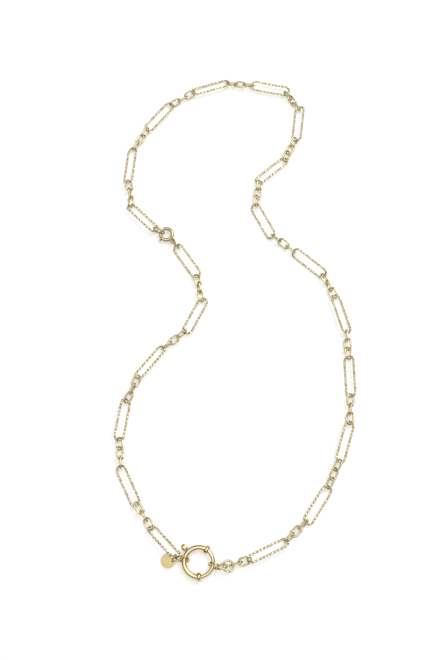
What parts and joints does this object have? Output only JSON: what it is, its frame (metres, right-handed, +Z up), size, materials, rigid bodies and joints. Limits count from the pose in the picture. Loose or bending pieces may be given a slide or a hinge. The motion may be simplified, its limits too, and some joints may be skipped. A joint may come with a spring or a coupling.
{
  "type": "convertible necklace",
  "caption": "Closed loop of gold chain: long twisted oval links with groups of small links between them, a sailor clasp, a small spring ring clasp and a round tag.",
  "frame": {"origin": "under the middle of the loop, on the surface it lies on", "axes": "+Z up, +Y from the sailor clasp up the loop, +X to the picture's right"},
  "size_m": [0.0963, 0.22, 0.0048],
  "materials": {
    "twisted_wire": "gold plated, twisted and polished",
    "small_links": "gold plated, polished",
    "ring_wire": "gold plated, polished",
    "clasp_metal": "gold plated, polished",
    "tag_metal": "gold plated, satin"
  },
  "bodies": {
    "chain": {"long_link_01": "twisted_wire", "long_link_02": "twisted_wire", "long_link_03": "twisted_wire", "long_link_04": "twisted_wire", "long_link_05": "twisted_wire", "long_link_06": "twisted_wire", "long_link_07": "twisted_wire", "long_link_08": "twisted_wire", "long_link_09": "twisted_wire", "long_link_10": "twisted_wire", "long_link_11": "twisted_wire", "long_link_12": "twisted_wire", "long_link_13": "twisted_wire", "long_link_14": "twisted_wire", "long_link_15": "twisted_wire", "long_link_16": "twisted_wire", "long_link_17": "twisted_wire", "long_link_18": "twisted_wire", "long_link_19": "twisted_wire", "long_link_20": "twisted_wire", "connector_01": "small_links", "connector_02": "small_links", "connector_03": "small_links", "connector_04": "small_links", "connector_05": "small_links", "connector_06": "small_links", "connector_07": "small_links", "connector_08": "small_links", "connector_09": "small_links", "connector_10": "small_links", "connector_11": "small_links", "connector_12": "small_links", "connector_13": "small_links", "connector_14": "small_links", "connector_15": "small_links", "connector_16": "small_links", "connector_17": "small_links", "connector_18": "small_links", "ring_right_1": "ring_wire", "ring_right_2": "ring_wire", "ring_right_3": "ring_wire", "hook_left": "ring_wire", "hook_small_upper": "ring_wire", "hook_small_lower": "ring_wire", "end_pair": "small_links", "sailor_clasp": "clasp_metal", "spring_clasp": "clasp_metal", "tag": "tag_metal", "tag_ring": "ring_wire"},
    "sailor_latch": {"sailor_latch": "clasp_metal"},
    "spring_latch": {"spring_latch": "clasp_metal"}
  },
  "joints": [
    {"name": "sailor_latch_turn", "type": "hinge", "parent": "chain", "child": "sailor_latch", "pos_m": [-0.01435, -0.10285, 0.00205], "axis": [0, 0.0523, -0.9986], "range_deg": [0, 55], "stiffness_Nm_per_rad": 0.002, "springref_deg": -45.84},
    {"name": "spring_latch_turn", "type": "hinge", "parent": "chain", "child": "spring_latch", "pos_m": [-0.0289, 0.0338, 0.0018], "axis": [0, -0.0349, 0.9994], "range_deg": [0, 55], "stiffness_Nm_per_rad": 0.001, "springref_deg": -45.84}
  ]
}
